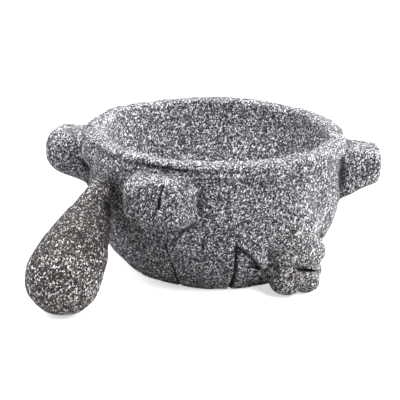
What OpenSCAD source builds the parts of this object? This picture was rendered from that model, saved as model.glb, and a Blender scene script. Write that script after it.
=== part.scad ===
// Molcajete: a stone mortar cut from one block, with four paws, a head and shell lines,
// and its tejolote, the loose pear-shaped hand stone that leans on its wall.
// Millimetres. +Z is up, the origin is the centre of the flat base, and the head faces -Y.

/* [Bowl] */
// Outer diameter of the rim
rim_d = 200; // [160:1:240]
// Height from the floor to the rim
bowl_h = 106; // [88:1:130]
// Thickness of the wall at the rim
rim_w = 14.5; // [10:0.5:20]
// Thickness of the floor under the hollow
floor_t = 30; // [18:1:40]
// Diameter of the flat base
base_d = 132; // [105:1:150]
// Drop from the rim to the widest part of the wall
belly_drop = 37; // [25:1:50]
// Height of the rim band
band_h = 12; // [8:0.5:16]
// How far the rim band stands out from the wall
band_proud = 2.5; // [1:0.5:4]
// Rounding of the rim's outer edge
rim_round = 5; // [2:0.5:5.5]
// Rounding of the rim's inner edge
mouth_round = 4; // [2:0.5:5]

/* [Paws] */
// Drop from the rim to the front paws' flat tops
front_drop = 9; // [8:0.5:14]
// Drop from the rim to the rear paws' flat tops
rear_drop = 6.5; // [5:0.5:14]
// Width of the front left paw
front_left_w = 49; // [40:1:60]
// How far the front left paw stands out from the wall
front_left_out = 27; // [20:1:34]
// Width of the front right paw
front_right_w = 41; // [32:1:52]
// How far the front right paw stands out from the wall
front_right_out = 28; // [22:1:36]
// Width of each rear paw
rear_w = 52; // [42:1:62]
// How far each rear paw stands out from the wall
rear_out = 32; // [24:1:40]
// Height of the front left paw's end
front_left_t = 33; // [28:1:40]
// Height of the front right paw's end
front_right_t = 27; // [22:1:36]
// Height of a rear paw's end
rear_t = 31; // [26:1:38]
// Height of a rear paw where it meets the wall
rear_root_t = 36; // [30:1:44]
// How much deeper the front right paw is where it meets the wall
front_right_haunch = 12; // [0:1:24]
// Width of a toe groove
toe_w = 3; // [1.5:0.5:5]
// Distance between the two toe grooves of a paw
toe_pitch = 13; // [9:1:18]

/* [Shoulders] */
// How far the shoulder between two paws stands out from the wall
shoulder_out = 5; // [2:0.5:6]
// Height of the shoulder
shoulder_h = 10; // [6:1:12]

/* [Head] */
// Width of the neck under the rim
neck_w = 47; // [36:1:56]
// Width of the brow, where the neck widens
brow_w = 54; // [42:1:62]
// Width of the head at the mouth
head_w = 42; // [34:1:50]
// Width across the chin's two lobes
chin_w = 48; // [36:1:56]
// How far the muzzle stands out from the wall
muzzle_out = 9; // [4:1:16]
// Height of the muzzle's centre above the floor
muzzle_z = 26; // [20:1:36]
// How far the muzzle is turned to the right of the neck, in degrees
head_turn = 4; // [0:1:6]
// Width of the mouth slit
mouth_w = 24; // [16:1:30]
// Gap between the chin and the floor
chin_gap = 1.5; // [0.5:0.5:4]

/* [Shell lines] */
// Width of each incised line
line_w = 3.2; // [1.5:0.1:5]
// Angle between neighbouring lines
line_step = 33; // [24:1:36]
// Number of lines on each flank
line_count = 5; // [3:1:5]
// Drop from the rim to the top of the lines
line_drop = 58; // [50:1:66]

/* [Tejolote] */
// Diameter of the bulb
bulb_d = 55.6; // [45:0.2:66]
// Diameter of the tip
tip_d = 20; // [15:0.2:25]
// Length from the bulb's end to the tip's end
tejolote_l = 115; // [95:1:138]
// Where on the wall the tip leans, as an angle about the bowl
lean_at = 179; // [174:0.5:182]
// Direction the bulb lies in from the tip
lean_to = 209.5; // [195:0.5:215]
// Drop from the rim to the centre of the tip
tip_drop = 31.3; // [28:0.1:40]

/* [Fits] */
// Clearance between the tejolote's tip and the wall
lean_gap = 0.3; // [0.2:0.1:1]

/* [Hidden] */
$fn = 96;
hull_fn = 28;
// How far solids run into each other, and how far cuts run past a surface
join = 1;
past = 10;

// Bowl
rim_r = rim_d / 2;
wall_r = rim_r - band_proud;
mouth_r = rim_r - rim_w;
base_r = base_d / 2;
belly_z = bowl_h - belly_drop;
band_z = bowl_h - band_h;
hollow_depth = bowl_h - floor_t;
hollow_r = (mouth_r * mouth_r + hollow_depth * hollow_depth) / (2 * hollow_depth);
hollow_z = floor_t + hollow_r;
spread = wall_r - base_r;
// The wall's arc is upright at the belly and passes through the edge of the base
belly_r = (spread * spread + belly_z * belly_z) / (2 * spread);
foot_a = asin(-belly_z / belly_r);
BELLY_STEPS = 14;

// Paws
front_round = 13;
block_round = 7;
rear_round = 13;
root_depth = 10;
root_r = wall_r - root_depth;
FRONT_LEFT = 208;
FRONT_RIGHT = 320;
REAR_LEFT = 135;
REAR_RIGHT = 47;
toe_depth = 2.2;

// Shoulders and rim band
under_round = 2;

// Head
HEAD = 270;
neck_drop = 24;
neck_r = 10;
brow_r = 12;
brow_rise = 32;
muzzle_r = 12;
muzzle_rise = 6;
chin_r = 9;
chin_back = 2;
chin_turn = 3;
slit_h = 2.6;
slit_deep = 5;
slit_drop = 4;
notch_r = 2.5;
notch_drop = 12;

// Shell lines
first_line = 28.5;
line_top = bowl_h - line_drop;
// How far a line runs on past the edge of the base, in degrees
line_past = 4;

// Tejolote
bulb_r = bulb_d / 2;
tip_r = tip_d / 2;
stem_l = tejolote_l - bulb_r - tip_r;
tip_slope = -0.26;
STEPS = 18;
tip_z = bowl_h - tip_drop;
tip_out = wall_r + tip_r + lean_gap;
lean_tilt = asin((tip_z - bulb_r) / stem_l);
bulb_at = [
    tip_out * cos(lean_at) + stem_l * cos(lean_tilt) * cos(lean_to),
    tip_out * sin(lean_at) + stem_l * cos(lean_tilt) * sin(lean_to),
    bulb_r
];

// A point from its angle about the bowl, its distance from the axis and its height
function round_bowl(a, r, z) = [r * cos(a), r * sin(a), z];

// Half the tejolote's width at a share t of the way from the bulb's centre to the tip's
function pear_r(t) =
    bulb_r * (2 * pow(t, 3) - 3 * t * t + 1)
    + tip_r * (3 * t * t - 2 * pow(t, 3))
    + stem_l * tip_slope * (pow(t, 3) - t * t);

// The belly's outline at an angle below the level of its widest part
function belly_point(a) = [wall_r - belly_r + belly_r * cos(a), belly_z + belly_r * sin(a)];

module at_angle(a) {
    rotate([0, 0, a]) children();
}

// Half outline of the bowl before it is hollowed
module bowl_outline() {
    polygon([
        [0, 0],
        for (i = [0 : BELLY_STEPS]) belly_point(foot_a * (1 - i / BELLY_STEPS)),
        [wall_r, band_z + join],
        [0, band_z + join]
    ]);
    rim_outline();
}

// Half outline of the rim band, with a rounded lip above and a small one below
module rim_outline() {
    translate([0, band_z]) square([rim_r - rim_round, band_h]);
    translate([0, band_z + under_round]) square([rim_r, band_h - under_round - rim_round]);
    translate([rim_r - rim_round, bowl_h - rim_round]) circle(rim_round);
    translate([rim_r - under_round, band_z + under_round]) circle(under_round);
    translate([0, band_z]) square([rim_r - under_round, under_round]);
}

// The round hollow, with the mouth's inner edge rounded over
module hollow() {
    edge_z = bowl_h - mouth_round;
    edge_r = sqrt(hollow_r * hollow_r - pow(hollow_z - edge_z, 2)) + mouth_round;
    intersection() {
        translate([0, 0, hollow_z]) sphere(hollow_r);
        cylinder(h = bowl_h + past, r = rim_r);
    }
    rotate_extrude() difference() {
        translate([edge_r - mouth_round - join, edge_z])
            square([mouth_round + join, mouth_round + past]);
        translate([edge_r, edge_z]) circle(mouth_round);
    }
}

// Outline with rounded corners at its +X end, from x = 0 to x = long and across y = 0
module blunt(long, w, r) {
    translate([0, -w / 2]) square([long - r, w]);
    translate([0, r - w / 2]) square([long, w - 2 * r]);
    for (s = [-1, 1])
        translate([long - r, s * (w / 2 - r)]) circle(r);
}

// A paw that stands out from the wall, lying along +X: its plan crossed with its side view
module paw(w, out, drop, end_t, root_t, r) {
    long = wall_r + out - root_r;
    under = root_t - end_t;
    translate([root_r, 0, bowl_h - drop - end_t / 2])
        intersection() {
            translate([0, 0, -root_t])
                linear_extrude(2 * root_t) blunt(long, w, r);
            translate([0, w, 0])
                rotate([90, 0, 0])
                    linear_extrude(2 * w) {
                        blunt(long, end_t, min(r, end_t * 0.45));
                        polygon([
                            [0, 0],
                            [0, -end_t / 2 - under],
                            [long - r, -end_t / 2],
                            [long - r, 0]
                        ]);
                    }
        }
}

// The two toe grooves over the end of a paw, which follow its side view
module toes(out, drop, end_t, r) {
    long = wall_r + out - root_r;
    corner_r = min(r, end_t * 0.45);
    start = long - corner_r - toe_depth;
    for (s = [-1, 1])
        translate([root_r, s * toe_pitch / 2 + toe_w / 2, bowl_h - drop - end_t / 2])
            rotate([90, 0, 0])
                linear_extrude(toe_w)
                    difference() {
                        translate([start, -end_t]) square([long, 2 * end_t]);
                        blunt(long - toe_depth, end_t - 2 * toe_depth, corner_r - toe_depth);
                    }
}

// The raised band between the paws of one flank
module shoulder(from, to) {
    rotate_extrude(angle = to - from, start = from)
        polygon([
            [root_r, band_z - shoulder_h - shoulder_out],
            [wall_r - join, band_z - shoulder_h - shoulder_out],
            [wall_r + shoulder_out, band_z - shoulder_h + join],
            [wall_r + shoulder_out, band_z - under_round],
            [wall_r + join, band_z + join],
            [root_r, band_z + join]
        ]);
}

// Two balls side by side across the head, w wide over both
module head_pair(turn, r, out, w, z) {
    at_angle(HEAD + turn)
        for (s = [-1, 1])
            translate([out, s * (w / 2 - r), z]) sphere(r, $fn = hull_fn);
}

// Neck, brow, muzzle and a two-lobed chin that almost reaches the floor
module head() {
    muzzle_end = wall_r + muzzle_out;
    hull() {
        head_pair(0, neck_r, wall_r - neck_r - join, neck_w, bowl_h - neck_drop);
        head_pair(0, brow_r, wall_r - brow_r, brow_w, muzzle_z + brow_rise);
        head_pair(head_turn, muzzle_r, muzzle_end - muzzle_r, head_w, muzzle_z + muzzle_rise);
        head_pair(chin_turn, chin_r, muzzle_end - chin_r - chin_back, chin_w, chin_r + chin_gap);
    }
}

// The mouth slit and the notch between the chin's lobes
module head_cuts() {
    at_angle(HEAD + head_turn)
        translate([wall_r + muzzle_out - slit_deep, -mouth_w / 2, muzzle_z - slit_drop])
            cube([past, mouth_w, slit_h]);
    at_angle(HEAD + chin_turn)
        translate([wall_r + muzzle_out, 0, 0])
            cylinder(h = muzzle_z - notch_drop, r = notch_r, $fn = 32);
}

// Incised lines that run down the belly to the base, on both flanks
module shell_lines() {
    start = asin((line_top - belly_z) / belly_r);
    for (s = [-1, 1], i = [0 : line_count - 1])
        at_angle(HEAD + s * (first_line + i * line_step))
            translate([wall_r - belly_r, 0, belly_z])
                rotate([90, 0, 0])
                    rotate_extrude(angle = start - foot_a + line_past, start = foot_a - line_past)
                        translate([belly_r, 0]) circle(d = line_w, $fn = 32);
}

// The four paws, the shoulders between them and the head
module limbs() {
    front_left_root = front_left_t + under_round;
    front_right_root = front_right_t + front_right_haunch;
    at_angle(FRONT_LEFT)
        paw(front_left_w, front_left_out, front_drop, front_left_t, front_left_root, front_round);
    at_angle(FRONT_RIGHT)
        paw(front_right_w, front_right_out, front_drop, front_right_t, front_right_root, block_round);
    for (a = [REAR_LEFT, REAR_RIGHT])
        at_angle(a) paw(rear_w, rear_out, rear_drop, rear_t, rear_root_t, rear_round);
    shoulder(REAR_LEFT, FRONT_LEFT);
    shoulder(FRONT_RIGHT - 360, REAR_RIGHT);
    head();
}

module mortar() {
    color("dimgray")
        difference() {
            union() {
                rotate_extrude() bowl_outline();
                limbs();
            }
            hollow();
            at_angle(FRONT_LEFT) toes(front_left_out, front_drop, front_left_t, front_round);
            at_angle(FRONT_RIGHT) toes(front_right_out, front_drop, front_right_t, block_round);
            for (a = [REAR_LEFT, REAR_RIGHT]) at_angle(a) toes(rear_out, rear_drop, rear_t, rear_round);
            head_cuts();
            shell_lines();
        }
}

module tejolote() {
    color("slategray")
        translate(bulb_at)
            rotate([0, 0, lean_to + 180])
                rotate([0, 90 - lean_tilt, 0])
                    rotate_extrude()
                        intersection() {
                            union() {
                                circle(bulb_r);
                                polygon([
                                    [0, 0],
                                    for (i = [0 : STEPS]) [pear_r(i / STEPS), stem_l * i / STEPS],
                                    [0, stem_l]
                                ]);
                                translate([0, stem_l]) circle(tip_r);
                            }
                            translate([0, -bulb_r]) square([bulb_r + join, tejolote_l]);
                        }
}

mortar();
tejolote();
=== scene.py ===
"""The looks of a molcajete: a carved stone mortar with four paws and an animal head, and the
tejolote that leans on it. Each stone is one block, so each is sculpted whole as a distance field
round its CAD node, meshed, and given a speckled basalt material.

Sculpting is in millimetres in the frame's own axes: the bowl's axis is Z, the floor is z = 0 and
the head faces -Y. Angles about the bowl are in degrees from +X.
"""

import math

import bpy
import numpy as np
import openvdb
from mathutils import Matrix, Vector


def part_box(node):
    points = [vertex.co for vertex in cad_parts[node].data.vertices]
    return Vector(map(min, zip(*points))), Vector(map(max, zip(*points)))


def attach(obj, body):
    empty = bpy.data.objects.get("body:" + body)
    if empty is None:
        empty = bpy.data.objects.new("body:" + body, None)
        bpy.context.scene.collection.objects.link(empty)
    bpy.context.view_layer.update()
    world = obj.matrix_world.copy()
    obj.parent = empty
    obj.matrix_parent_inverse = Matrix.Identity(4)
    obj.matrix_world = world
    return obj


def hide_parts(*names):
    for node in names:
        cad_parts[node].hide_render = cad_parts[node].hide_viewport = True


MM = 0.001

# Bowl: how far its rim stands out, how far below the rim's top the wall ends under it, and how far
# below it the wall is widest
BAND_PROUD = 2.5
WALL_TOP_DROP = 2.0
BELLY_DROP = 37.0
# The hollow is part of a ball, whose centre is this far above the rim
HOLLOW_R = 86.1
HOLLOW_RISE = 10.1
MOUTH_ROUND = 4.0
LIP_H = 12.0
LIP_ROUND = 4.6
BASE_ROUND = 1.6

# Groove round the outside of the rim: drop below the rim, half width and depth
RIM_GROOVE = (4.8, 1.4, 2.9)
# The angle where the groove is deepest, how far from there it fades, and its share of the depth beyond
RIM_GROOVE_AT = 211
RIM_GROOVE_FADE = 36
RIM_GROOVE_LEAST = 0.3

# Shoulders: raised bands between the paws of one flank
SHOULDER_OUT = 4.6
SHOULDER_DROP = 17.0
SHOULDER_HALF_H = 12.5
# Where each starts, is full, starts to fade and ends, in degrees; the right one's are from its middle
LEFT_SHOULDER = (136, 150, 192, 206)
RIGHT_SHOULDER = (-43, -30, 30, 43)
RIGHT_SHOULDER_AT = 3.5

# Paws: angle, width, how far it stands out, drop of its top, end height, root height, rounding
PAWS = {
    "front_left": (208, 53, 28, 8.0, 38, 40, 11.5),
    "front_right": (320, 41, 29.5, 8.5, 28, 40, 5.5),
    "rear_left": (135, 52, 32.5, 6.0, 31, 38, 12.5),
    "rear_right": (47, 52, 32.5, 6.0, 31, 38, 11.0),
}
PAW_ROOT = 78.0
# How far the underside of a paw draws back for each millimetre down
PAW_TUCK = 0.15
# How much narrower a paw is at its end, as a share, and how much fuller it is along its middle
PAW_TAPER = 0.08
PAW_CROWN = 0.9

# Toe grooves of each paw: how far to the side each is, where it starts and ends below the top, and
# its depth
TOES = {
    "front_left": ((-6.8, 7, 14, 1.9), (9.8, 1, 20, 4.0)),
    "front_right": ((-6.5, -9, 14, 3.0), (6.5, -9, 15, 3.0)),
    "rear_left": ((-8.0, -9, 18, 3.0), (7.5, -9, 17, 3.0)),
    "rear_right": ((-7.5, -9, 17, 3.0), (8.0, -9, 19, 3.0)),
}
TOE_HALF = 1.35
# How far a toe groove moves to the side for each millimetre down
TOE_LEAN = -0.1

# Head, in a frame that looks out along HEAD: out from the bowl's axis, to its right, up
HEAD = 270
HEAD_BALLS = (
    ((83, 0, 84), (15.5, 16, 24)),
    ((85, 0, 60), (18.0, 22, 22)),
    ((86, 3, 44), (19.5, 22, 17)),
    ((76, 2, 18), (18.0, 17, 16)),
)
MUZZLE = ((86.5, 8, 31), (21.5, 22.0, 13.5))
JAW = ((86, 8, 16), (20.0, 21.0, 14.5))
CHIN_BALLS = (
    ((90.5, -5, 8.6), (13.5, 10.5, 8.5)),
    ((93.5, 11.5, 8.6), (13.0, 10.8, 8.6)),
)
# Over how many millimetres the parts of the head blend into each other
SKULL_BLEND = 9
JAW_BLEND = 4
MUZZLE_BLEND = 3.5
CHIN_BLEND = 2.5
# Mouth slit: height in the middle of the face, its slope, half height, half width and inner end
MOUTH = (21.8, -0.2, 0.95, 11.5, 99.5)
MOUTH_TO_RIGHT = 3.0

# Ear cuts: leaf-shaped hollows beside the head, between these angles from it. Each one's upper edge
# falls towards the head, and its lower edge rises away from it by so much for each degree
EAR_NEAR = 14.4
EAR_FAR = 29.5
EAR_END = 1.5
EAR_TOP = 43.9
EAR_FALL = 22.2
EAR_CURVE = 1.35
EAR_BOTTOM = 20.3
EAR_RISE = 0.4
EAR_DEPTH = 3.5
EAR_LINE_DEPTH = 1.6
EAR_RIDGE = 1.4

# Shell lines: degrees from the head, heights and depths, with one depth for each line from the head
FIRST_LINE = 28.5
LINE_STEP = 33.0
LINE_TOP = 48.0
LINE_HALF = 1.6
LINE_DEPTHS = (3.4, 2.0, 1.8, 2.0, 2.2)
LINE_WAVER = 0.9
SHORT_LINE = 44.5
SHORT_LINE_DEPTH = 2.6
SHORT_LINE_MIDDLE = 44
SHORT_LINE_HALF_H = 10

# Over how many millimetres the parts of the mortar blend into each other
LIP_BLEND = 3.0
PAW_BLEND = 3.5
TOE_BLEND = 1.0
HEAD_BLEND = 5
MOUTH_BLEND = 1.0
GROOVE_BLEND = 1.2

# Unevenness of the dressed stone: height, size across and seed of its swells, lumps and grain
MORTAR_MARKS = ((0.50, 30, 11), (0.30, 11, 12), (0.16, 4.5, 13))
TEJOLOTE_MARKS = ((0.3, 26, 21), (0.26, 9, 22), (0.12, 4, 23))
# Its pits: depth, size across, seed, and the level of the noise above which there is a pit
MORTAR_PITS = (0.55, 3.6, 14, 1.25)
TEJOLOTE_PITS = (0.4, 3.4, 24, 1.3)
# Brings noise to about unit spread
NOISE_GAIN = 5.2

# Where the tejolote's tip leans on the mortar, both stones are even, and cut back a little so that
# they stay apart. The unevenness starts and is full at these distances from the tip
TIP_R = 10.0
MORTAR_CALM = (11, 20)
MORTAR_CLEARANCE = 0.25
TEJOLOTE_CALM = (-4, 16)
TEJOLOTE_CLEARANCE = 0.2
# How far the tejolote is cut back elsewhere, so that its swells stay inside the CAD node
TEJOLOTE_SHRINK = 0.55
TEJOLOTE_FLAT_ROUND = 1.0
# In how many places the slope of the tejolote's outline is worked out
PROFILE_POINTS = 80

MORTAR_VOXEL = 1.05
TEJOLOTE_VOXEL = 0.9
GRID_MARGIN = 4
MOST_TRIANGLES = 195000
# How far round a point its surroundings are looked at: near for the painted shade in cuts and the wear
# and painted highlight on edges, far for the painted shade in creases
CREST_REACH = 3.0
SHELTER_REACH = 9.0

# Colour by relief and by mottling: two levels, and the shade at each
# Painted shade in cuts
CUT_SHADE = (-0.9, 0.05, 0.42, 1.0)
# Wear, and a painted highlight, on edges
WEAR_AND_HIGHLIGHT = (0.15, 0.9, 1.0, 1.32)
# Painted shade in creases
CREASE_SHADE = (-1.8, -0.35, 0.30, 1.0)
MOTTLE = (0.3, 0.7, 0.86, 1.14)
MOTTLE_SIZE = 17
CLOUD = (0.35, 0.6)
CLOUD_SIZE = 5
CRUMB_SIZE = 0.9
# The waves that bend the edges of the grains: their size and height
WARP_SIZE = 1.6
WARP = 0.5
# Flecks: how many times shorter each is along X, Y and Z, the range of their sizes, how soft their
# edges are, and where their dark rings start and are full, with how dark these are
FLECK_SQUEEZE = (1.45, 1.05, 0.66)
FLECK_SIZES = (0.75, 1.15)
FLECK_EDGE = 0.06
FLECK_RING = (-0.2, -0.05)
FLECK_RING_SHARE = 0.45
# No point of a stone is paler than this
PALEST = (0.95, 0.94, 0.94, 1)
RELIEF_DEPTH = 0.35

# Camera: where it looks from and at, in degrees and metres, and its roll
CAMERA_AZIMUTH = -40
CAMERA_ELEVATION = 17.7
CAMERA_TARGET = (0, 0, 0.05)
CAMERA_DISTANCE = 1.5
CAMERA_ROLL = 1.8
CAMERA_SENSOR = 36
CAMERA_LENS = 174.9
CAMERA_SHIFT = (-0.0354, -0.0025)

# Lights: azimuth, elevation, distance, size, power and colour
LIGHTS_TARGET = (-0.03, 0, 0.05)
LIGHTS = {
    "low_right": (75, 15, 1.5, 0.8, 29, (1, 1, 1)),
    "front_right": (10, 40, 1.5, 0.8, 19.5, (1, 1, 1)),
    "left": (-110, 35, 1.5, 0.9, 10.5, (0.96, 0.97, 1)),
    "behind": (140, 45, 1.6, 1.0, 22, (1, 1, 1)),
    "behind_left": (-160, 40, 1.6, 1.0, 13, (1, 1, 1)),
    "overhead": (0, 88, 1.4, 0.9, 6, (1, 1, 1)),
}
# The world's light on the object
WORLD = 0.02
# Floor: its size, its own white, and the light that it throws back on the object
FLOOR_R = 9
FLOOR_WHITE = 0.9
FLOOR_BOUNCE = 0.5
# How much the floor glows near the object, and from where to where the glow rises to 1, in metres
FLOOR_GLOW = 0.6
FLOOR_GLOW_FROM = 0.3
FLOOR_GLOW_TO = 1.0


# ---------------------------------------------------------------- distance fields


def smooth_min(a, b, k):
    """The union of two fields, blended over k millimetres."""
    h = np.maximum(k - np.abs(a - b), 0) / k
    return np.minimum(a, b) - h * h * (k / 4)


def smooth_max(a, b, k):
    """The overlap of two fields, blended over k millimetres."""
    return -smooth_min(-a, -b, k)


def step(x, low, high):
    """0 below low, 1 above high and smooth between them."""
    t = np.clip((x - low) / (high - low), 0, 1)
    return t * t * (3 - 2 * t)


def bump(x, half):
    """1 at x = 0, falling smoothly to 0 at half either way."""
    return step(half - np.abs(x), 0, half)


def band(x, start, full, fade, end):
    """0 up to start, 1 from full to fade and 0 again from end."""
    return step(x, start, full) * step(-x, -end, -fade)


def length(*parts):
    """The length of a vector with these parts."""
    return np.sqrt(sum(p * p for p in parts))


def rounded_box(x, y, z, half, r):
    """A box about the origin with half sizes half and edges rounded to r."""
    q = [np.abs(c) - (h - r) for c, h in zip((x, y, z), half)]
    outside = length(*(np.maximum(c, 0) for c in q))
    return outside + np.minimum(np.maximum(np.maximum(q[0], q[1]), q[2]), 0) - r


def ellipsoid(x, y, z, centre, radii):
    """About the distance from an ellipsoid."""
    p = [(c - m) / r for c, m, r in zip((x, y, z), centre, radii)]
    near = length(*p)
    slope = length(*(c / r for c, r in zip(p, radii)))
    return near * (near - 1) / np.maximum(slope, 1e-6)


class Grid:
    """An even grid of points over a box, in millimetres, with noise sampled on it."""

    def __init__(self, low, high, voxel):
        self.voxel = voxel
        self.axes = [np.arange(a, b, voxel, dtype=np.float32) for a, b in zip(low, high)]
        self.x, self.y, self.z = np.meshgrid(*self.axes, indexing="ij", sparse=True)
        self.r = length(self.x, self.y)
        self.angle = np.degrees(np.arctan2(self.y, self.x)) % 360

    def turned(self, degrees):
        """Coordinates out from the axis at that angle, and to the left of it."""
        c, s = math.cos(math.radians(degrees)), math.sin(math.radians(degrees))
        return self.x * c + self.y * s, self.y * c - self.x * s

    def noise(self, size, seed):
        """Smooth noise of about unit spread, whose lumps are about size across."""
        rng = np.random.default_rng(seed)
        weights = [spline_weights(axis / size) for axis in self.axes]
        lattice = rng.uniform(-1, 1, [w.shape[1] for w in weights]).astype(np.float32)
        for w in weights:
            lattice = np.tensordot(lattice, w, axes=(0, 1))
        return lattice * NOISE_GAIN


def spline_weights(at):
    """For each place in at, the cubic B-spline weights of the lattice points round it."""
    at = at - at.min()
    cell = np.floor(at).astype(int)
    t = at - cell
    weights = np.zeros((len(at), cell.max() + 4), np.float32)
    shares = ((1 - t) ** 3, 3 * t**3 - 6 * t**2 + 4, -3 * t**3 + 3 * t**2 + 3 * t + 1, t**3)
    for i, share in enumerate(shares):
        weights[np.arange(len(at)), cell + i] = share / 6
    return weights


def angle_from(angle, centre):
    """Degrees from centre, between -180 and 180."""
    return (angle - centre + 180) % 360 - 180


# ---------------------------------------------------------------- mortar


def node_points(node):
    """A CAD node's points, in millimetres."""
    mesh = bpy.data.objects[node].data
    co = np.zeros(len(mesh.vertices) * 3)
    mesh.vertices.foreach_get("co", co)
    return co.reshape(-1, 3) / MM


def bowl_sizes():
    """The bowl's height, rim radius and base radius, measured on the CAD node."""
    points = node_points("mortar")
    out = np.hypot(points[:, 0], points[:, 1])
    height = points[:, 2].max()
    rim = out[points[:, 2] > height - LIP_H / 2].max()
    base = out[points[:, 2] < 0.01].max()
    return height, rim, base


def wall(g, height, rim_r, base_r):
    """The bowl's outside: upright above its widest level, and an arc in to the base below it."""
    wall_r = rim_r - BAND_PROUD
    belly_z = height - BELLY_DROP
    spread = wall_r - base_r
    arc_r = (spread**2 + belly_z**2) / (2 * spread)
    below = np.minimum(g.z - belly_z, 0)
    d = length(g.r - (wall_r - arc_r), below) - arc_r
    return smooth_max(d, g.z - (height - WALL_TOP_DROP), 2)


def from_head(g):
    """Degrees from the head, counted alike on both flanks."""
    return np.abs(angle_from(g.angle, HEAD))


def shoulders(g, height):
    """How far the raised bands between the paws of each flank stand out."""
    left = band(g.angle, *LEFT_SHOULDER)
    right = band(angle_from(g.angle, RIGHT_SHOULDER_AT), *RIGHT_SHOULDER)
    across = bump(g.z - (height - SHOULDER_DROP), SHOULDER_HALF_H)
    return SHOULDER_OUT * (left + right) * across


def shell_lines(g):
    """Depth of the incised lines that run down the belly, deepest next to the head."""
    away = from_head(g)
    depth = 0
    waver = LINE_WAVER * np.sin(g.z / 9)
    for i, deepest in enumerate(LINE_DEPTHS):
        at = FIRST_LINE + i * LINE_STEP
        side = g.r * np.radians(away - at) + waver
        line = np.maximum(1 - np.abs(side) / LINE_HALF, 0)
        reach = step(LINE_TOP + 2 * math.sin(3 * i) - g.z, 0, 8)
        depth = depth + deepest * np.sqrt(line) * reach
    short = np.maximum(1 - np.abs(g.r * np.radians(away - SHORT_LINE)) / LINE_HALF, 0)
    reach = bump(g.z - SHORT_LINE_MIDDLE, SHORT_LINE_HALF_H)
    return depth + SHORT_LINE_DEPTH * np.sqrt(short) * reach


def ear_cuts(g):
    """Depth of the leaf-shaped cut on each side of the head, under the ridge that bounds it."""
    away = from_head(g)
    share = np.clip((EAR_FAR - away) / (EAR_FAR - EAR_NEAR), 0, 1.2)
    below = EAR_TOP - EAR_FALL * share**EAR_CURVE - g.z
    between = band(away, EAR_NEAR - EAR_END, EAR_NEAR, EAR_FAR - EAR_END, EAR_FAR)
    bottom = EAR_BOTTOM + EAR_RISE * (away - EAR_NEAR)
    cut = EAR_DEPTH * step(below, -0.6, 1.0) * np.exp(-np.maximum(below, 0) / 10)
    cut = cut * step(g.z - bottom, -1.0, 0.6)
    under = EAR_LINE_DEPTH * np.maximum(1 - np.abs(g.z - bottom) / LINE_HALF, 0)
    ridge = EAR_RIDGE * bump(below + 3.0, 3.6)
    return between * (cut + under - ridge)


def slit(deep, side, half, depth):
    """A narrow cut into a surface: half its width to the side, depth along the other way."""
    return (length(deep / depth, side / half) - 1) * half


def wall_radius():
    """The radius of the bowl's wall where it is upright."""
    return bowl_sizes()[1] - BAND_PROUD


def paw(g, height, angle, wide, out, drop, end_t, root_t, r):
    """A paw that stands out from the wall, deeper at its root than at its end."""
    u, v = g.turned(angle)
    end = wall_radius() + out
    toward_root = step(end - u, 4, out + 6)
    half_z = (end_t + (root_t - end_t) * toward_root) / 2
    middle_z = height - drop - half_z
    half_v = wide / 2 * (1 - PAW_TAPER * (1 - toward_root))
    crown = bump(v, wide / 2)
    half = ((end - PAW_ROOT) / 2 + crown - 0.7, half_v, half_z + PAW_CROWN * crown - 0.6)
    tucked = PAW_TUCK * np.maximum(middle_z - g.z, 0)
    return rounded_box(u - (end + PAW_ROOT) / 2 + tucked, v, g.z - middle_z, half, r)


def toe_grooves(g, height, name):
    """The two grooves over the end of a paw, which follow its rounded top edge."""
    angle, _, out, drop, _, _, r = PAWS[name]
    u, v = g.turned(angle)
    top = height - drop
    end = wall_radius() + out
    corner = length(np.maximum(u - (end - r), 0), np.maximum(g.z - (top - r), 0)) - r
    cut = None
    for side, starts, ends, depth in TOES[name]:
        groove = slit(corner, v - side - TOE_LEAN * (top - g.z), TOE_HALF, depth)
        groove = smooth_max(groove, (top - ends) - g.z, 2)
        groove = smooth_max(groove, g.z - (top - starts), 3)
        groove = smooth_max(groove, (end - r - 3) - u, 3)
        cut = groove if cut is None else np.minimum(cut, groove)
    return cut


def head(g):
    """Neck, brow, muzzle and chin as one soft mass."""
    u, v = g.turned(HEAD)
    mass = None
    for centre, radii in HEAD_BALLS:
        ball = ellipsoid(u, v, g.z, centre, radii)
        mass = ball if mass is None else smooth_min(mass, ball, SKULL_BLEND)
    mass = smooth_min(mass, ellipsoid(u, v, g.z, *JAW), JAW_BLEND)
    mass = smooth_min(mass, ellipsoid(u, v, g.z, *MUZZLE), MUZZLE_BLEND)
    for ball in CHIN_BALLS:
        mass = smooth_min(mass, ellipsoid(u, v, g.z, *ball), CHIN_BLEND)
    return mass


def mouth_cut(g):
    """The slit of the mouth, which slopes down to the right and narrows to its ends."""
    u, v = g.turned(HEAD)
    middle_z, slope, half_z, half_v, inner = MOUTH
    along = (v - MOUTH_TO_RIGHT) / half_v
    thick = half_z * (1.15 - 0.7 * along * along)
    return smooth_max(np.abs(g.z - middle_z - slope * v) - thick, inner - u, 1)


def rim_groove(g, height, rim_r):
    """The thin groove round the outside of the rim, strongest at the front left."""
    drop, half, depth = RIM_GROOVE
    deepest = bump(angle_from(g.angle, RIM_GROOVE_AT), RIM_GROOVE_FADE)
    strength = RIM_GROOVE_LEAST + (1 - RIM_GROOVE_LEAST) * deepest
    return slit(g.r - rim_r, g.z - (height - drop), half, depth * strength)


def hollow(g, height):
    """The ball that the bowl is hollowed by, whose centre is above the rim."""
    return length(g.x, g.y, g.z - (height + HOLLOW_RISE)) - HOLLOW_R


def tool_marks(g, marks, pits):
    """Unevenness of the dressed stone: its broad swells, and its lumps, grain and pits."""
    swells, lumps, grain = (height * g.noise(size, seed) for height, size, seed in marks)
    depth, size, seed, level = pits
    return swells, lumps + grain + depth * np.maximum(g.noise(size, seed) - level, 0)


def rim_lip(g, height, rim_r):
    """The proud band round the rim, with rounded edges."""
    middle_z = height - LIP_H / 2
    out = np.maximum(g.r - (rim_r - LIP_ROUND), 0)
    up = np.maximum(np.abs(g.z - middle_z) - (LIP_H / 2 - LIP_ROUND), 0)
    return length(out, up) - LIP_ROUND


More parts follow.
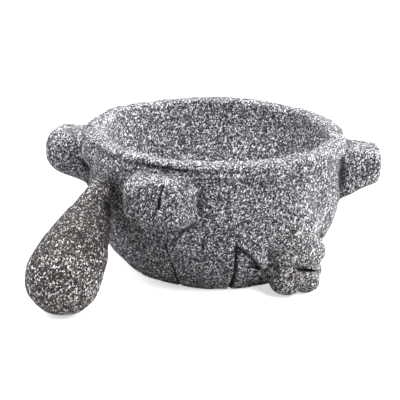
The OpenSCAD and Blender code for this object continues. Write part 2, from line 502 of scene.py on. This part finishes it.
def sculpt_mortar(voxel):
    """The mortar's grid and its distance field."""
    height, rim_r, base_r = bowl_sizes()
    low, high = (np.array(c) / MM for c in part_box("mortar"))
    g = Grid(low - GRID_MARGIN, high + GRID_MARGIN, voxel)
    d = wall(g, height, rim_r, base_r)
    d = smooth_min(d, rim_lip(g, height, rim_r), LIP_BLEND)
    d = d - shoulders(g, height)
    d = d + shell_lines(g) + ear_cuts(g)
    for name, sizes in PAWS.items():
        d = smooth_min(d, paw(g, height, *sizes), PAW_BLEND)
    for name in PAWS:
        d = smooth_max(d, -toe_grooves(g, height, name), TOE_BLEND)
    d = smooth_min(d, head(g), HEAD_BLEND)
    d = smooth_max(d, -mouth_cut(g), MOUTH_BLEND)
    d = smooth_max(d, -rim_groove(g, height, rim_r), GROOVE_BLEND)
    d = smooth_max(d, -hollow(g, height), MOUTH_ROUND)
    swells, fine = tool_marks(g, MORTAR_MARKS, MORTAR_PITS)
    from_tip = length(*(c - m for c, m in zip((g.x, g.y, g.z), tip_place())))
    uneven = step(from_tip, *MORTAR_CALM)
    d = d + uneven * (swells + fine) + MORTAR_CLEARANCE * (1 - uneven)
    return g, smooth_max(d, -g.z, BASE_ROUND)


# ---------------------------------------------------------------- tejolote


def tejolote_axis():
    """A point on the tejolote's axis, the way to its tip, and the places and widths of its profile."""
    points = np.unique(node_points("tejolote").round(2), axis=0)
    middle = points.mean(0)
    along = np.linalg.svd(points - middle, full_matrices=False)[2][0]
    along = along * math.copysign(1, along[2])
    t = (points - middle) @ along
    out = np.linalg.norm(points - middle - np.outer(t, along), axis=1)
    order = np.argsort(t)
    return middle, along, t[order], out[order]


def tip_place():
    """The middle of the tejolote's round tip, which leans on the bowl."""
    middle, along, t, _ = tejolote_axis()
    return middle + along * (t[-1] - TIP_R)


def profile_field(t, out, ts, outs):
    """About the distance from a turned outline, corrected for the outline's slope."""
    radius = np.interp(t, ts, outs)
    places = np.linspace(ts[0], ts[-1], PROFILE_POINTS)
    slope = np.gradient(np.interp(places, ts, outs), (ts[-1] - ts[0]) / (PROFILE_POINTS - 1))
    lean = np.interp(t, places, slope)
    return (out - radius) / np.sqrt(1 + lean**2)


def sculpt_tejolote(voxel):
    """The tejolote's grid and its distance field."""
    middle, along, ts, outs = tejolote_axis()
    low, high = (np.array(c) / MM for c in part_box("tejolote"))
    g = Grid(low - GRID_MARGIN, high + GRID_MARGIN, voxel)
    x, y, z = (c - m for c, m in zip((g.x, g.y, g.z), middle))
    t = x * along[0] + y * along[1] + z * along[2]
    out = np.sqrt(np.maximum(x * x + y * y + z * z - t * t, 0))
    bulb_r = outs.max()
    bulb_t = ts[0] + bulb_r
    tip_t = ts[-1] - TIP_R
    stem = (t > bulb_t) & (t < tip_t)
    d = np.where(t <= bulb_t, length(t - bulb_t, out) - bulb_r, length(t - tip_t, out) - TIP_R)
    d = np.where(stem, profile_field(t, out, ts, outs), d)
    swells, fine = tool_marks(g, TEJOLOTE_MARKS, TEJOLOTE_PITS)
    uneven = step(tip_t - t, *TEJOLOTE_CALM)
    d = d + uneven * (swells + TEJOLOTE_SHRINK + fine) + TEJOLOTE_CLEARANCE * (1 - uneven)
    return g, smooth_max(d, -g.z, TEJOLOTE_FLAT_ROUND)


# ---------------------------------------------------------------- meshes


def mesh_from_field(name, g, field):
    """The field's zero surface as a smooth-shaded mesh object, in metres."""
    grid = openvdb.FloatGrid()
    grid.copyFromArray(np.ascontiguousarray(field, np.float32))
    points, quads = grid.convertToQuads(isovalue=0.0)
    low = np.array([axis[0] for axis in g.axes])
    mesh = bpy.data.meshes.new(name)
    mesh.vertices.add(len(points))
    mesh.vertices.foreach_set("co", ((points * g.voxel + low) * MM).astype(np.float32).ravel())
    mesh.loops.add(len(quads) * 4)
    mesh.loops.foreach_set("vertex_index", quads.astype(np.int32).ravel())
    mesh.polygons.add(len(quads))
    mesh.polygons.foreach_set("loop_start", np.arange(0, len(quads) * 4, 4, dtype=np.int32))
    mesh.polygons.foreach_set("use_smooth", np.ones(len(quads), bool))
    mesh.update(calc_edges=True)
    mesh.validate()
    obj = bpy.data.objects.new(name, mesh)
    bpy.context.scene.collection.objects.link(obj)
    return obj


def thin_out(obj, most):
    """Merges faces where the surface is even, down to at most that many triangles."""
    triangles = 2 * len(obj.data.polygons)
    if triangles <= most:
        return
    modifier = obj.modifiers.new("thin", "DECIMATE")
    modifier.ratio = most / triangles
    graph = bpy.context.evaluated_depsgraph_get()
    mesh = bpy.data.meshes.new_from_object(obj.evaluated_get(graph))
    obj.modifiers.remove(modifier)
    obj.data = mesh


def blurred(field, reach):
    """The mean of the field over a box that reaches that many points each way."""
    count = 2 * reach + 1
    for axis in range(3):
        first = np.repeat(field.take([0], axis), reach + 1, axis)
        last = np.repeat(field.take([-1], axis), reach, axis)
        total = np.cumsum(np.concatenate([first, field, last], axis), axis, dtype=np.float64)
        upper = total.take(range(count, total.shape[axis]), axis)
        lower = total.take(range(0, total.shape[axis] - count), axis)
        field = ((upper - lower) / count).astype(np.float32)
    return field


def sampled(g, field, points):
    """The field's value at each point, in straight lines between the grid's points."""
    at = [(points[:, i] - g.axes[i][0]) / g.voxel for i in range(3)]
    cell = [np.clip(a.astype(int), 0, len(axis) - 2) for a, axis in zip(at, g.axes)]
    part = [a - c for a, c in zip(at, cell)]
    value = 0
    for corner in np.ndindex(2, 2, 2):
        share = 1
        for t, side in zip(part, corner):
            share = share * (t if side else 1 - t)
        value = value + share * field[tuple(c + side for c, side in zip(cell, corner))]
    return value


def mark_relief(obj, g, field):
    """Stores how far each point stands out of its surroundings: above 0 on edges, below in cuts."""
    mesh = obj.data
    points = np.zeros(len(mesh.vertices) * 3)
    mesh.vertices.foreach_get("co", points)
    points = points.reshape(-1, 3) / MM
    for name, reach in (("crest", CREST_REACH), ("shelter", SHELTER_REACH)):
        values = sampled(g, blurred(field, round(reach / g.voxel)), points)
        attribute = mesh.attributes.new(name, "FLOAT", "POINT")
        attribute.data.foreach_set("value", values.astype(np.float32))


def carve(name, sculpt, voxel, body, node, material):
    """Sculpts one stone and puts it in place of its CAD node."""
    g, field = sculpt(voxel * (1.0))
    obj = mesh_from_field(name, g, field)
    thin_out(obj, MOST_TRIANGLES)
    mark_relief(obj, g, field)
    obj.data.materials.clear()
    obj.data.materials.append(material)
    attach(obj, body)
    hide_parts(node)


# ---------------------------------------------------------------- materials


class Nodes:
    """A small helper that adds linked nodes to one material."""

    def __init__(self, name):
        self.material = bpy.data.materials.new(name)
        self.material.use_nodes = True
        self.tree = self.material.node_tree
        self.tree.nodes.clear()

    def add(self, kind, settings=None, **inputs):
        """A node whose inputs are given by name, or by number as i0, i1 and so on."""
        node = self.tree.nodes.new(kind)
        for key, value in (settings or {}).items():
            setattr(node, key, value)
        for key, value in inputs.items():
            numbered = key[0] == "i" and key[1:].isdigit()
            socket = node.inputs[int(key[1:]) if numbered else key]
            if isinstance(value, bpy.types.NodeSocket):
                self.tree.links.new(value, socket)
            else:
                socket.default_value = value
        return node

    def math(self, operation, a, b):
        return self.add("ShaderNodeMath", {"operation": operation}, i0=a, i1=b).outputs[0]

    def vector(self, operation, a, b):
        return self.add("ShaderNodeVectorMath", {"operation": operation}, i0=a, i1=b).outputs[0]

    def distance(self, a, b):
        settings = {"operation": "DISTANCE"}
        return self.add("ShaderNodeVectorMath", settings, i0=a, i1=b).outputs["Value"]

    def range(self, value, low, high, to_low=0.0, to_high=1.0, smooth=True):
        """The value carried from low .. high to to_low .. to_high, and held at its ends."""
        kind = "SMOOTHSTEP" if smooth else "LINEAR"
        levels = {"From Min": low, "From Max": high, "To Min": to_low, "To Max": to_high}
        settings = {"interpolation_type": kind, "clamp": True}
        return self.add("ShaderNodeMapRange", settings, Value=value, **levels).outputs["Result"]

    def mix(self, share, a, b, blend="MIX"):
        settings = {"data_type": "RGBA", "blend_type": blend}
        return self.add("ShaderNodeMix", settings, i0=share, i6=a, i7=b).outputs[2]

    def shaded(self, colour, shade):
        """The colour, darker or lighter by a number."""
        grey_shade = self.add("ShaderNodeCombineColor", i0=shade, i1=shade, i2=shade).outputs[0]
        return self.mix(1.0, colour, grey_shade, "MULTIPLY")

    def noise(self, vector, size_mm, detail=2.0, roughness=0.5):
        scale = 1 / (size_mm * MM)
        settings = {"Scale": scale, "Detail": detail, "Roughness": roughness}
        return self.add("ShaderNodeTexNoise", Vector=vector, **settings)

    def cells(self, vector, size_mm):
        scale = 1 / (size_mm * MM)
        return self.add("ShaderNodeTexVoronoi", {"feature": "F1"}, Vector=vector, Scale=scale)

    def attribute(self, name):
        return self.add("ShaderNodeAttribute", {"attribute_name": name}).outputs["Fac"]

    def ramp(self, value, stops):
        """A colour for the value, from stops of a place and a colour."""
        node = self.add("ShaderNodeValToRGB", Fac=value)
        ramp = node.color_ramp
        while len(ramp.elements) < len(stops):
            ramp.elements.new(0.5)
        for element, (place, colour) in zip(ramp.elements, stops):
            element.position = place
            element.color = (*colour, 1)
        return node.outputs["Color"]


def warped(n, size_mm, amount_mm):
    """Object coordinates, as they are and pushed about so that grains lose their straight edges."""
    place = n.add("ShaderNodeTexCoord").outputs["Object"]
    wobble = n.noise(place, size_mm, detail=1.0).outputs["Color"]
    centred = n.vector("SUBTRACT", wobble, (0.5, 0.5, 0.5))
    most = 2 * amount_mm * MM
    push = n.add("ShaderNodeVectorMath", {"operation": "SCALE"}, i0=centred, Scale=most).outputs[0]
    return place, n.vector("ADD", place, push)


def grey(value, tint):
    """A grey of that value, tinted."""
    return tuple(value * t for t in tint)


def flecks(n, vector, size_mm, share, reach, turn):
    """Scattered grains, longer one way, in that share of the cells: a mask, and one a little wider."""
    settings = {"rotation_type": "EULER_XYZ"}
    turned = n.add("ShaderNodeVectorRotate", settings, Vector=vector, Rotation=turn).outputs[0]
    cells = n.cells(n.vector("MULTIPLY", turned, FLECK_SQUEEZE), size_mm)
    pick, spread = n.add("ShaderNodeSeparateColor", i0=cells.outputs["Color"]).outputs[:2]
    chosen = n.math("GREATER_THAN", pick, 1 - share)
    least, most = (reach * share_of_it for share_of_it in FLECK_SIZES)
    edge = n.range(spread, 0.0, 1.0, least, most, smooth=False)
    inside = n.math("SUBTRACT", edge, cells.outputs["Distance"])
    body = n.math("MULTIPLY", chosen, n.range(inside, 0.0, FLECK_EDGE))
    around = n.math("MULTIPLY", chosen, n.range(inside, *FLECK_RING))
    return body, around


def near(n, place, centre_mm, reach_mm):
    """1 at a point of the stone, falling to 0 at reach_mm from it."""
    centre = tuple(c * MM for c in centre_mm)
    return n.range(n.distance(place, centre), reach_mm * MM, 0.0)


def grained(n, moved, pick, tones, fleck_layers):
    """A mosaic of grey grains with layers of flecks, each fleck in a dark ring."""
    colour = n.ramp(pick, tones)
    for number, (size_mm, share, reach, tone) in enumerate(fleck_layers):
        body, around = flecks(n, moved, size_mm, share, reach, (number, 1.3 * number, 0.6))
        ring = n.math("MULTIPLY", around, FLECK_RING_SHARE)
        colour = n.mix(ring, colour, (*tones[0][1], 1))
        colour = n.mix(body, colour, (*tone, 1))
    return colour


def mottled_with_painted_shade(n, place, colour):
    """The colour with mottling, painted shade in its cuts and creases, and wear with a painted
    highlight on its edges.
    """
    mottle = n.noise(place, MOTTLE_SIZE, detail=3.0, roughness=0.6).outputs[0]
    colour = n.shaded(colour, n.range(mottle, *MOTTLE, smooth=False))
    crest = n.attribute("crest")
    # Painted shade in cuts, and wear with a painted highlight on edges, by how far the point stands out
    relief = n.math("MULTIPLY", n.range(crest, *CUT_SHADE), n.range(crest, *WEAR_AND_HIGHLIGHT))
    # Painted shade in creases
    painted_crease_shade = n.range(n.attribute("shelter"), *CREASE_SHADE)
    return n.shaded(colour, n.math("MULTIPLY", relief, painted_crease_shade))


def tinted(n, place, colour, patches):
    """The colour with cloudy tinted patches: centre, reach, strength and tint of each."""
    cloud = n.range(n.noise(place, CLOUD_SIZE).outputs[0], *CLOUD)
    for centre_mm, reach_mm, strength, tint in patches:
        mask = n.math("MULTIPLY", near(n, place, centre_mm, reach_mm), cloud)
        mask = n.math("MULTIPLY", mask, strength)
        colour = n.mix(mask, colour, (*tint, 1), "MULTIPLY")
    return colour


def graded(n, place, colour, gradients):
    """The colour with broad changes of shade: centre, reach, and shade at the centre and beyond."""
    for centre_mm, reach_mm, at_centre, beyond in gradients:
        share = near(n, place, centre_mm, reach_mm)
        shade = n.range(share, 0.0, 1.0, beyond, at_centre, smooth=False)
        colour = n.shaded(colour, shade)
    return colour


def stone(name, tones, grain_mm, fleck_layers, patches, gradients, rough, relief):
    """Speckled basalt: grains and flecks, mottling, painted shade in cuts and creases, wear with a
    painted highlight on edges, patches, changes of shade and fine relief.
    """
    n = Nodes(name)
    place, moved = warped(n, WARP_SIZE, WARP)
    grains = n.cells(moved, grain_mm)
    pick = n.add("ShaderNodeSeparateColor", i0=grains.outputs["Color"]).outputs[0]
    colour = grained(n, moved, pick, tones, fleck_layers)
    # Mottling, painted shade in cuts and creases, and wear with a painted highlight on edges
    colour = mottled_with_painted_shade(n, place, colour)
    colour = tinted(n, place, colour, patches)
    colour = graded(n, place, colour, gradients)
    colour = n.mix(1.0, colour, PALEST, "DARKEN")
    crumbs = n.noise(place, CRUMB_SIZE, roughness=0.6).outputs[0]
    height = n.math("ADD", n.math("MULTIPLY", pick, 0.5), crumbs)
    depth = RELIEF_DEPTH * MM
    normal = n.add("ShaderNodeBump", Strength=relief, Distance=depth, Height=height).outputs[0]
    roughness = n.range(pick, 0.0, 1.0, *rough, smooth=False)
    inputs = {"Base Color": colour, "Roughness": roughness, "Normal": normal, "IOR": 1.45}
    shader = n.add("ShaderNodeBsdfPrincipled", **inputs)
    n.add("ShaderNodeOutputMaterial", Surface=shader.outputs[0])
    return n.material


def mortar_stone():
    """Cool grey basalt, with painted light on the head and a painted shadow behind the tejolote."""
    cool = (1.03, 0.98, 1.14)
    pale = (1.0, 0.985, 1.03)
    tones = (
        (0.00, grey(0.006, cool)),
        (0.24, grey(0.018, cool)),
        (0.50, grey(0.064, cool)),
        (0.74, grey(0.175, cool)),
        (0.90, grey(0.420, pale)),
        (1.00, grey(0.800, pale)),
    )
    layers = (
        (1.2, 0.17, 0.50, grey(0.86, pale)),
        (1.7, 0.14, 0.52, grey(0.010, cool)),
        (1.6, 0.19, 0.46, grey(0.92, pale)),
        (2.3, 0.10, 0.42, grey(0.97, pale)),
    )
    patches = (
        ((-3, -102, 52), 16, 0.8, (1.0, 0.96, 0.78)),
        ((-14, -101, 46), 11, 0.8, (0.97, 0.97, 0.76)),
        ((0, -104, 20), 30, 0.8, (0.98, 0.93, 0.82)),
        ((-60, -74, 88), 16, 0.35, (0.96, 0.96, 1.0)),
    )
    # Painted light on the head's left and muzzle (first and last), a little paler round the middle of
    # the bowl, and a painted shadow where the tejolote leans (third), which stays when it is lifted
    gradients = (
        ((-13, -102, 30), 40, 1.42, 1.0),
        ((0, 0, 50), 75, 1.1, 1.0),
        ((-95, -9, 50), 26, 0.6, 1.0),
        ((-22, -97, 26), 24, 1.4, 1.0),
    )
    return stone("mortar_stone", tones, 0.75, layers, patches, gradients, (0.72, 0.9), 0.6)


def tejolote_stone():
    """Browner basalt with crisp pale flecks, with painted light at the bulb and painted shade towards
    the tip.
    """
    warm = (1.15, 0.975, 0.91)
    pale = (1.03, 0.985, 0.97)
    tones = (
        (0.00, grey(0.005, warm)),
        (0.25, grey(0.016, warm)),
        (0.55, grey(0.044, warm)),
        (0.80, grey(0.100, warm)),
        (0.93, grey(0.300, pale)),
        (1.00, grey(0.850, pale)),
    )
    layers = (
        (1.3, 0.12, 0.50, grey(0.70, pale)),
        (2.0, 0.16, 0.52, grey(0.008, warm)),
        (1.7, 0.17, 0.46, grey(0.96, pale)),
        (2.3, 0.08, 0.42, grey(0.98, pale)),
    )
    patches = (((-159, -28, 62), 16, 0.5, (1.0, 0.88, 0.86)),)
    # Painted light at the bulb and painted shade towards the tip, where the mortar shades it
    gradients = (((-164, -37, 4), 66, 2.2, 0.58),)
    return stone("tejolote_stone", tones, 0.85, layers, patches, gradients, (0.7, 0.88), 0.5)


# ---------------------------------------------------------------- stage


def toward(azimuth, elevation):
    """The direction of a viewpoint; azimuth 0 is in front, at -Y, and 90 is at +X."""
    a, e = math.radians(azimuth), math.radians(elevation)
    return Vector((math.sin(a) * math.cos(e), -math.cos(a) * math.cos(e), math.sin(e)))


def make_camera():
    """The photograph's viewpoint."""
    camera = bpy.data.objects.new("camera", bpy.data.cameras.new("camera"))
    bpy.context.scene.collection.objects.link(camera)
    back = toward(CAMERA_AZIMUTH, CAMERA_ELEVATION)
    right = Vector((0, 0, 1)).cross(back).normalized()
    up = back.cross(right)
    roll = math.radians(CAMERA_ROLL)
    turned_right = right * math.cos(roll) + up * math.sin(roll)
    turned_up = up * math.cos(roll) - right * math.sin(roll)
    place = Matrix.Translation(Vector(CAMERA_TARGET) + back * CAMERA_DISTANCE)
    turn = Matrix((turned_right, turned_up, back)).transposed().to_4x4()
    camera.matrix_world = place @ turn
    camera.data.sensor_width = CAMERA_SENSOR
    camera.data.lens = CAMERA_LENS
    camera.data.shift_x, camera.data.shift_y = CAMERA_SHIFT
    camera.data.clip_start = 0.05
    bpy.context.scene.camera = camera


def make_lights():
    """Soft round lights, all aimed at one point."""
    for name, (azimuth, elevation, distance, size, power, colour) in LIGHTS.items():
        data = bpy.data.lights.new(name, "AREA")
        data.shape = "DISK"
        data.size = size
        data.energy = power
        data.color = colour
        light = bpy.data.objects.new(name, data)
        back = toward(azimuth, elevation)
        light.location = Vector(LIGHTS_TARGET) + back * distance
        light.rotation_mode = "QUATERNION"
        light.rotation_quaternion = back.to_track_quat("Z", "Y")
        bpy.context.scene.collection.objects.link(light)


def make_world():
    """White all round to the camera, and a little light on the object."""
    world = bpy.data.worlds.new("world")
    world.use_nodes = True
    tree = world.node_tree
    background = tree.nodes["Background"]
    background.inputs["Color"].default_value = (1, 1, 1, 1)
    strength = tree.nodes.new("ShaderNodeMapRange")
    strength.inputs["To Min"].default_value = WORLD
    direct = tree.nodes.new("ShaderNodeLightPath").outputs["Is Camera Ray"]
    tree.links.new(direct, strength.inputs["Value"])
    tree.links.new(strength.outputs["Result"], background.inputs["Strength"])
    bpy.context.scene.world = world
    bpy.context.scene.view_settings.view_transform = "Standard"


def make_floor():
    """White paper, which the camera sees glowing and which throws back less light than it would."""
    bpy.ops.mesh.primitive_circle_add(vertices=96, radius=FLOOR_R, fill_type="NGON")
    floor = bpy.context.active_object
    floor.name = "floor"
    n = Nodes("floor_paper")
    place = n.add("ShaderNodeTexCoord").outputs["Object"]
    away = n.distance(place, (0, 0, 0))
    strength = n.range(away, FLOOR_GLOW_FROM, FLOOR_GLOW_TO, FLOOR_GLOW, 1.0)
    glow = n.add("ShaderNodeEmission", Strength=strength).outputs[0]
    paper = n.add("ShaderNodeBsdfDiffuse", Color=(FLOOR_WHITE, FLOOR_WHITE, FLOOR_WHITE, 1)).outputs[0]
    seen = n.add("ShaderNodeAddShader", i0=paper, i1=glow).outputs[0]
    lit = n.add("ShaderNodeBsdfDiffuse", Color=(FLOOR_BOUNCE, FLOOR_BOUNCE, FLOOR_BOUNCE, 1)).outputs[0]
    direct = n.add("ShaderNodeLightPath").outputs["Is Camera Ray"]
    shader = n.add("ShaderNodeMixShader", i0=direct, i1=lit, i2=seen).outputs[0]
    n.add("ShaderNodeOutputMaterial", Surface=shader)
    floor.data.materials.append(n.material)


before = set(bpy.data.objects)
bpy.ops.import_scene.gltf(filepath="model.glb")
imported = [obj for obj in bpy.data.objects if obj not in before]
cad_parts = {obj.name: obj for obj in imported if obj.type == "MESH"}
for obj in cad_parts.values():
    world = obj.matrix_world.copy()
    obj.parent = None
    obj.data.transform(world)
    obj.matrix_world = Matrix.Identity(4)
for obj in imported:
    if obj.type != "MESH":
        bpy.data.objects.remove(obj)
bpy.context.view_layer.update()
make_camera()
make_world()
make_lights()
make_floor()
carve(
    "mortar_block", sculpt_mortar, MORTAR_VOXEL,
    "mortar", "mortar", mortar_stone(),
)
carve(
    "tejolote_hand_stone", sculpt_tejolote, TEJOLOTE_VOXEL,
    "tejolote", "tejolote", tejolote_stone(),
)
